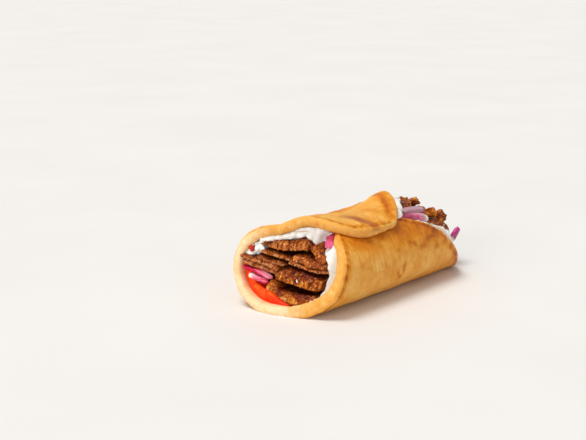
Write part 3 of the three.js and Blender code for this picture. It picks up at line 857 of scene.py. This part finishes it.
def meat_look():
    look = Look("browned sliced meat", IOR=1.45, Specular_IOR_Level=0.14, Subsurface_Weight=0.06,
                Subsurface_Radius=(1.0, 0.35, 0.2), Subsurface_Scale=0.001)
    grain = look.attribute("grain", vector=True)
    ribs = look.uneven(look.scaled(grain, (0.3, 1.0, 0.12)), 1.25)
    mottle = look.uneven(grain, 0.28, 4.0)
    specks = look.uneven(grain, 1.0, 3.0, 0.65)

    # How light each place is, 0 dark to 1 light, with painted highlights on raised grains and painted shade
    # between them, from raised.
    surface = look.add(
        0.05,
        ("raised", 0.56),
        (mottle, 0.72),
        (specks, look.between("cut", 0.0, 1.0, 0.55, 0.90)),
        (ribs, 0.75, "cut"),
    )
    tone = look.add(
        look.calc("MAXIMUM", surface, 0.25),
        ("cut", 0.07),
        ("thin", "cut", 0.06),
        # Darker where red; on front_9 and front_10 partly painted shade.
        ("red", -0.22),
        # Painted shade deeper in the mouth.
        ("inside", -0.26),
    )
    browned = look.ramp(tone, SIX_STEPS, [
        (0.030, 0.006, 0.002), (0.11, 0.020, 0.004), (0.30, 0.070, 0.012),
        (0.53, 0.155, 0.028), (0.76, 0.34, 0.090), (0.94, 0.67, 0.34),
    ])
    reddish = look.ramp(tone, SIX_STEPS, [
        (0.045, 0.004, 0.001), (0.13, 0.015, 0.002), (0.27, 0.038, 0.004),
        (0.52, 0.120, 0.010), (0.76, 0.28, 0.035), (0.97, 0.64, 0.22),
    ])
    crusty = look.ramp(tone, SIX_STEPS, [
        (0.040, 0.007, 0.001), (0.14, 0.022, 0.003), (0.31, 0.065, 0.005),
        (0.53, 0.145, 0.011), (0.80, 0.35, 0.045), (0.97, 0.72, 0.28),
    ])
    crust_patches = look.between(look.add("crisp", (mottle, 1.6)), 0.55, 0.95)
    colour = look.mix(crust_patches, look.mix("red", browned, reddish), crusty)
    fat = look.between(look.noise(grain, 0.5), 0.62, 0.72)
    colour = look.mix(look.times(fat, 0.4), colour, (0.84, 0.52, 0.28))
    # The thin slices are greyer and paler where they are cut.
    greyed = look.times("thin", "cut", look.between(mottle, -0.12, 0.12, 0.10, 0.60))
    wet = look.noise(grain, 0.5, 3.0, 0.6)
    height = look.add((specks, 0.7), (mottle, 0.5), (ribs, 0.8, "cut"))
    look.set(
        Base_Color=look.mix(greyed, colour, (0.40, 0.205, 0.125)),
        Roughness=look.between(wet, 0.35, 0.65, 0.26, 0.6),
        Normal=look.bump(height, 0.6, 0.9),
    )
    return look


# ---------------------------------------------------------------- yogurt sauce

SAUCE_BOTTOM = 0.5  # its lowest height


def make_sauce():
    piece, points = fine_copy("yogurt_sauce", "sauce", "sauce")
    rise = 0.75 * layers(points, 7, 61, 2) + 0.5 * (2.4 * np.abs(noise(points, 4.2, 63)) - 0.6)
    rise = rise + 0.34 * (pebbles(points, 3.0, 65) - 0.4) + 0.08 * noise(points, 1.4, 67)
    points = raise_points(piece, points, rise, SAUCE_BOTTOM)
    # A mask over the front side of the front mouth, where the fill light falls full on the sauce: there its
    # colour is painted darker, as painted shade.
    thin = smooth(-24, -33, points[:, 1]) * smooth(0, -30, points[:, 0])
    # Painted light: the sauce is painted whiter where its lumps rise and greyer in the hollows, as painted
    # shade.
    set_attributes(piece.data, {"raised": np.clip(0.5 + 0.55 * rise, 0, 1), "thin": thin})
    return piece


# Where sauce is smeared on other pieces: each dab's X, Y, Z and radius, in order along each smear.
SMEARS = {
    "on the top slice": [
        (-87.5, 20.0, 45.4, 1.1), (-85.4, 16.2, 46.3, 1.7), (-82.6, 12.2, 47.0, 1.9), (-80.2, 8.0, 48.0, 1.6),
        (-78.2, 3.4, 49.0, 2.0), (-75.1, -0.2, 49.8, 2.1), (-72.4, -3.4, 50.6, 1.8), (-70.5, -6.8, 51.8, 1.4),
    ],
    "by the tomato": [
        (-90.4, 22.2, 38.8, 1.7), (-88.9, 21.6, 40.0, 1.8), (-87.8, 20.4, 40.4, 1.7),
        (-87.2, 19.6, 38.8, 1.7), (-87.2, 20.8, 37.0, 2.2), (-87.8, 23.4, 35.6, 1.7),
    ],
    "under the flap's far rim": [
        (11.2, -16.2, 61.0, 1.9), (10.8, -18.4, 59.2, 2.3), (9.4, -20.8, 57.2, 2.4),
        (7.4, -22.5, 55.0, 2.3), (5.0, -24.2, 53.2, 2.0), (2.2, -25.6, 52.0, 1.8),
    ],
    "from there down to the meat": [
        (8.5, -13.0, 57.8, 2.6), (11.0, -15.0, 57.4, 3.0), (11.4, -17.4, 56.4, 3.0), (9.6, -19.8, 54.4, 2.8),
    ],
    "on a slice": [(-85.7, -10.9, 22.4, 0.35), (-85.5, -11.3, 20.9, 0.6), (-85.3, -11.9, 19.6, 0.3)],
}


def unit_ball(cuts):
    """The points and faces of a ball of radius 1: a cube with cuts x cuts squares a side, blown up round."""
    steps = np.linspace(-1, 1, cuts + 1)
    across, up = (side.ravel() for side in np.meshgrid(steps, steps, indexing="ij"))
    grid = np.arange((cuts + 1) ** 2).reshape(cuts + 1, -1)
    points, faces = [], []
    for axis, sign in product(range(3), (1, -1)):
        faces.append(squares(grid) + len(points) * grid.size)
        points.append(np.roll(np.stack([np.full(grid.size, sign), sign * across, up], -1), axis, 1))
    points, merged = np.unique(np.round(np.concatenate(points), 6), axis=0, return_inverse=True)
    return unit(points), merged.ravel()[np.concatenate(faces)]


def balls(middles, radii, cuts=6):
    """Many balls as one mesh's points and faces."""
    points, faces = unit_ball(cuts)
    every = middles[:, None] + radii[:, None, None] * points
    return every.reshape(-1, 3), (faces + np.arange(len(middles))[:, None, None] * len(points)).reshape(-1, 4)


def dabs_between(dabs, step=0.7):
    """Closely spaced dabs from the first to the last."""
    close = [np.array(dabs[0])]
    for start, end in zip(np.array(dabs), np.array(dabs[1:])):
        count = int(np.linalg.norm((end - start)[:3]) / step) + 2
        close += [start + share * (end - start) for share in np.linspace(0, 1, count)[1:]]
    return close


def make_smears():
    dabs = np.concatenate([dabs_between(smear) for smear in SMEARS.values()])
    middles, radii = dabs[:, :3], dabs[:, 3]
    middles = middles + 0.5 * np.stack([noise(middles, 3.5, seed) for seed in (91, 92, 93)], -1)
    radii = radii * (1 + 0.35 * noise(middles, 2.5, 94))
    piece = new_piece("sauce_smears", *balls(middles, radii))
    join_up(piece, "sauce_smears")
    points = points_of(piece.data)
    rise = 0.30 * noise(points, 2.6, 95) + 0.14 * noise(points, 1.2, 96)
    raise_points(piece, points, rise)
    # Painted light: whiter where the smear rises, greyer where it sinks, as painted shade.
    set_attributes(piece.data, {"raised": np.clip(0.7 + rise, 0, 1), "thin": 0})
    return piece


def sauce_look():
    look = Look("yogurt sauce", Roughness=0.3, IOR=1.4, Subsurface_Weight=0.2, Subsurface_Scale=0.001,
                Subsurface_Radius=(1.0, 0.95, 0.9), Coat_Weight=0.15, Coat_Roughness=0.12)
    place = look.node("TexCoord", {}, "Object")
    lumps = look.uneven(place, 420.0)
    curds = look.uneven(place, 1300.0, 2.0)
    # Painted light: greyer in the hollows and whiter on the lumps, from raised.
    tone = look.add(("raised", 0.55), (lumps, 0.9), 0.25)
    colour = look.ramp(tone, (0.1, 0.4, 0.75), [(0.66, 0.62, 0.55), (0.89, 0.88, 0.84), (0.95, 0.94, 0.91)])
    # Painted shade: on the front side of the front mouth its colour is painted darker and greyer.
    colour = look.mix(look.times("thin", 0.85), colour, (0.55, 0.48, 0.40))
    herb = look.between(look.noise(place, 900.0, 1.0, 0.4), 0.735, 0.775)
    look.set(
        Base_Color=look.mix(look.times(herb, 0.6), colour, (0.36, 0.38, 0.20)),
        Normal=look.bump(look.add(lumps, (curds, 0.6)), 0.6, 0.8),
    )
    return look


# ---------------------------------------------------------------- tomato

# For each piece: its name, and how deep a red it is, 0 bright orange-red to 1 deep.
TOMATOES = {"tomato_wedge": ("tomato_slice", 0.0), "tomato_piece": ("tomato_scrap", 1.0)}
TOMATO_BOTTOM = 0.4  # its lowest height
ROLL_MIDDLE = 26.3  # the height of the roll's middle, about


def make_tomato(node):
    name, deep = TOMATOES[node]
    piece, points = fine_copy(node, name, name)
    rise = 0.22 * noise(points, 6, 71) + 0.10 * noise(points, 2, 72)
    points = raise_points(piece, points, rise, TOMATO_BOTTOM)
    x, y, z = points.T
    angle = np.degrees(np.arctan2(y - through(DRIFT, x), ROLL_MIDDLE - z))
    # How deep in the flesh each point is: its skin lies against the inside of the bread.
    depth = np.linalg.norm((sheet_point(angle, x, -THICKNESS / 2) - points)[:, 1:], axis=1)
    set_attributes(piece.data, {"depth": depth, "deep": deep})
    return piece


def tomato_look():
    look = Look("tomato", Roughness=0.3, IOR=1.38, Specular_IOR_Level=0.2, Subsurface_Weight=0.2,
                Subsurface_Radius=(1.0, 0.25, 0.08), Subsurface_Scale=0.003, Coat_Weight=0.12,
                Coat_Roughness=0.08)
    place = look.node("TexCoord", {}, "Object")
    fibres = look.noise(place, 300.0, 3.0, 0.6)
    cells = look.noise(place, 900.0, 2.0, 0.6)
    tone = look.add((fibres, 0.9), (cells, 0.35), look.between("depth", 1.0, 9.0, -0.25, 0.08))
    flesh = look.ramp(tone, (0.2, 0.45, 0.7, 0.95), [
        (0.74, 0.014, 0.0005), (0.92, 0.032, 0.0005), (0.95, 0.070, 0.001), (0.96, 0.20, 0.02),
    ])
    deep = look.times("deep", look.between(fibres, 0.35, 0.6, 0.9, 0.45))
    flesh = look.mix(deep, flesh, (0.26, 0.022, 0.004))
    look.set(
        Base_Color=look.mix(look.between("depth", 0.9, 1.8), (0.60, 0.016, 0.003), flesh),
        Normal=look.bump(look.add(fibres, cells), 0.4, 0.4),
    )
    return look


# ---------------------------------------------------------------- red onion

# For each strip: which way its skin side looks, which end is white (-1, 1, or 0 for none), how deep its
# colour is, 0 pale to 1 crimson, how violet it is, and how much further than usual its skin's colour reaches.
ONIONS = {
    "front_1": ((0, 0.75, -0.65), 0, 0.24, 0.0, 0.16),
    "front_2": ((0, 0, -1), 1, 0.24, 0.0, 0),
    "front_3": ((0, 0, 1), 0, 0.36, 0.3, 0),
    "far_1": ((0, 0, -1), 0, 0.0, 0.8, 0),
    "far_2": ((-1, 0, 0.3), 1, 0.18, 0.45, 0),
    "far_3": ((0, -1, -1), -1, 0.50, 0.8, 0),
}
WHITE_SHARE = 0.26  # of half a strip's length
LAYER_EDGE = 0.56  # the share of a strip's depth at which its outermost layer begins


def make_onion(name):
    skin_way, white_end, depth, violet, more_skin = ONIONS[name]
    piece, points = fine_copy("red_onion_" + name, "onion_" + name, "onion")
    centre = points.mean(0)
    long_way = np.linalg.svd((points - centre)[::7], full_matrices=False)[2][0]
    long_way = long_way * (1 if long_way[np.argmax(np.abs(long_way))] > 0 else -1)
    along = (points - centre) @ long_way
    skin_way = unit(np.array(skin_way, float))
    towards = (points - centre) @ skin_way
    towards = (towards - towards.min()) / (towards.max() - towards.min())
    # Uneven, and grooved where one layer of the onion ends and the next begins.
    rise = 0.26 * noise(points, 4, 81) + 0.10 * noise(points, 1.5, 82)
    groove = bell(towards + 0.05 * noise(points, 5, 83), LAYER_EDGE, 0.06)
    rise = rise - 0.38 * groove * (1 - smooth(0.6, 0.9, np.abs(normals_of(piece.data) @ skin_way)))
    raise_points(piece, points, rise)
    set_attributes(piece.data, {
        "skin": towards + more_skin,
        "vein": np.stack([along, towards * 4, points @ np.cross(long_way, skin_way)], -1),
        "ending": along * white_end / np.abs(along).max() + abs(white_end) - 1,
        "depth": depth,
        "violet": violet,
    })
    return piece


def onion_look():
    look = Look("red onion", Roughness=0.3, IOR=1.4, Specular_IOR_Level=0.18, Subsurface_Weight=0.25,
                Subsurface_Radius=(1.0, 0.45, 0.7), Subsurface_Scale=0.0015, Coat_Weight=0.08,
                Coat_Roughness=0.1)
    veins = look.uneven(look.scaled(look.attribute("vein", vector=True), (0.10, 1.0, 1.0)), 0.9)
    tone = look.add("depth", (veins, 1.1), ("skin", 0.25))
    steps = (0.0, 0.2, 0.45, 0.7, 1.0)
    crimson = look.ramp(tone, steps, [
        (0.60, 0.40, 0.44), (0.74, 0.26, 0.33), (0.76, 0.075, 0.17), (0.62, 0.012, 0.08), (0.40, 0.003, 0.035)
    ])
    violet = look.ramp(tone, steps, [
        (0.48, 0.32, 0.36), (0.55, 0.23, 0.34), (0.58, 0.13, 0.38), (0.48, 0.04, 0.28), (0.26, 0.010, 0.16)
    ])
    flesh = look.mix("violet", crimson, violet)
    skin = look.mix("violet", (0.50, 0.003, 0.036), (0.34, 0.13, 0.24))
    colour = look.mix(look.between(look.add("skin", (veins, 0.6)), 0.50, 0.72), flesh, skin)
    ending = look.add("ending", (veins, 0.5))
    white = look.between(ending, 1 - 2.4 * WHITE_SHARE, 1 - 0.6 * WHITE_SHARE)
    look.set(Base_Color=look.mix(white, colour, (0.93, 0.82, 0.72)), Normal=look.bump(veins, 0.4, 0.6))
    return look


# ---------------------------------------------------------------- the whole

BREAD = bread_look()
MEAT = meat_look()
SAUCE = sauce_look()
TOMATO = tomato_look()
ONION = onion_look()

dress(make_bread(), BREAD, "bread", "pita_bread")
slices = []
for number, name in enumerate(SLICES):
    meat_slice = make_meat(name, MEAT_SEED + SEED_STEP * number)
    slices.append(dress(meat_slice, MEAT, "meat", "gyro_meat_" + name))
for number, marks in enumerate(SCRAPS, 1):
    dress(make_scrap(number, *marks), MEAT, "meat", f"crisp_meat_scrap_{number}")
dress(make_crumbs(slices), MEAT, "meat")
dress(make_sauce(), SAUCE, "yogurt_sauce", "yogurt_sauce")
dress(make_smears(), SAUCE, "yogurt_sauce")
for node in TOMATOES:
    dress(make_tomato(node), TOMATO, "tomato", node)
for name in ONIONS:
    dress(make_onion(name), ONION, "red_onion", "red_onion_" + name)

# ---------------------------------------------------------------- stage, light and camera

CAMERA_AT = (-643.89, -529.61, 245.49)  # mm, in the wrap's frame
CAMERA_TARGET = (-9.00, 62.43, 8.0)
LENS, SENSOR = 73.23, 36.0  # mm
SHIFT = (-0.0043, 0.0662)
NEAREST, FURTHEST = 0.01, 20  # m, what the camera sees

FLOOR_HALF_SIZE = 9000  # mm
LIGHT_DISTANCE = 1000  # mm, clear of the wrap
# For each light: the way to it, its strength, the angle in degrees that it fills, and its colour.
LIGHTS = {
    "key": ((-0.32, 0.12, 0.94), 2.1, 30, (1.0, 0.975, 0.93)),
    "fill": ((-0.97, -0.12, 0.16), 1.25, 36, (1.0, 0.98, 0.95)),
}


def placed(point):
    return Vector((np.array(point) - ORIGIN) * MM)


def look_at(thing, target):
    thing.rotation_euler = (target - thing.location).to_track_quat("-Z", "Y").to_euler()


def add_camera():
    camera = new_object("camera", bpy.data.cameras.new("camera"))
    camera.location = placed(CAMERA_AT)
    look_at(camera, placed(CAMERA_TARGET))
    camera.data.sensor_width = SENSOR
    camera.data.lens = LENS
    camera.data.shift_x, camera.data.shift_y = SHIFT
    camera.data.clip_start, camera.data.clip_end = NEAREST, FURTHEST
    bpy.context.scene.camera = camera


def add_light(name, direction, strength, softness, colour):
    """Even light from far away."""
    lamp = new_object(name, bpy.data.lights.new(name, "SUN"))
    lamp.location = placed(np.array(direction) * LIGHT_DISTANCE)
    look_at(lamp, placed((0, 0, 0)))
    lamp.data.energy = strength
    lamp.data.angle = np.radians(softness)
    lamp.data.color = colour


def add_floor():
    size = FLOOR_HALF_SIZE
    corners = [(-size, -size, 0), (size, -size, 0), (size, size, 0), (-size, size, 0)]
    floor = new_piece("floor", corners, [[0, 1, 2, 3]])
    look = Look("pale floor", Roughness=0.6)
    tone = look.noise(look.node("TexCoord", {}, "Object"), 6.0)
    look.set(Base_Color=look.ramp(tone, (0.3, 0.7), [(0.80, 0.79, 0.78), (0.83, 0.82, 0.81)]))
    floor.data.materials.append(look.owner)


def add_world():
    """A pale studio, as bright as the floor at the horizon and dimmer overhead."""
    sky = WorldLook("studio", Color=(1.0, 0.985, 0.965))
    up = sky.node("SeparateXYZ", {0: sky.node("TexCoord", {}, "Generated")}, "Z")
    sky.set(Strength=sky.between(up, 0.0, 0.35, 0.9, 0.46))
    bpy.context.scene.world = sky.owner


add_floor()
add_world()
for name, light in LIGHTS.items():
    add_light(name, *light)
add_camera()
bpy.context.scene.view_settings.view_transform = "Standard"
